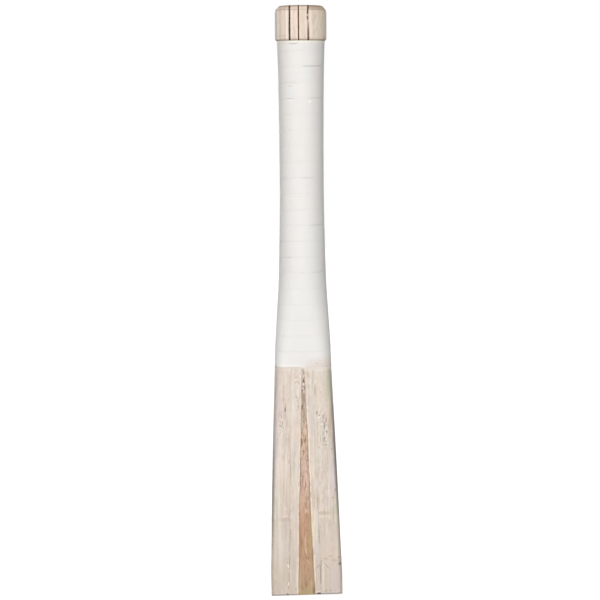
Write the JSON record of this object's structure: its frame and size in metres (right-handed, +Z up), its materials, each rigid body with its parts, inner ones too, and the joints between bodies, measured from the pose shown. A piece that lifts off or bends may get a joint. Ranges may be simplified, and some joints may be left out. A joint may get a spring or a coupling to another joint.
{
  "type": "cricket bat handle blank",
  "caption": "Laminated cane handle blank for a tennis ball cricket bat: turned knob, tape-bound round grip, rubber spring strips and a wedge in its flared splice block.",
  "frame": {"origin": "centre of the flat base end of the splice block", "axes": "+Z up along the grip to the knob, -Y out of the front face, +X to the right seen from the front"},
  "size_m": [0.0558, 0.0398, 0.4572],
  "materials": {
    "cane": "bare, sanded",
    "spring_rubber": "matt, sanded flush",
    "wedge_hardwood": "bare, sanded",
    "binding_cotton": "set in white glue"
  },
  "bodies": {
    "root": {"cane_left_outer_front": "cane", "cane_left_outer_middle": "cane", "cane_left_outer_back": "cane", "cane_left_inner_front": "cane", "cane_left_inner_middle": "cane", "cane_left_inner_back": "cane", "cane_right_inner_front": "cane", "cane_right_inner_middle": "cane", "cane_right_inner_back": "cane", "cane_right_outer_front": "cane", "cane_right_outer_middle": "cane", "cane_right_outer_back": "cane", "spring_strip_left": "spring_rubber", "spring_strip_middle": "spring_rubber", "spring_strip_right": "spring_rubber", "splice_wedge": "wedge_hardwood", "binding_tape": "binding_cotton"}
  },
  "joints": []
}
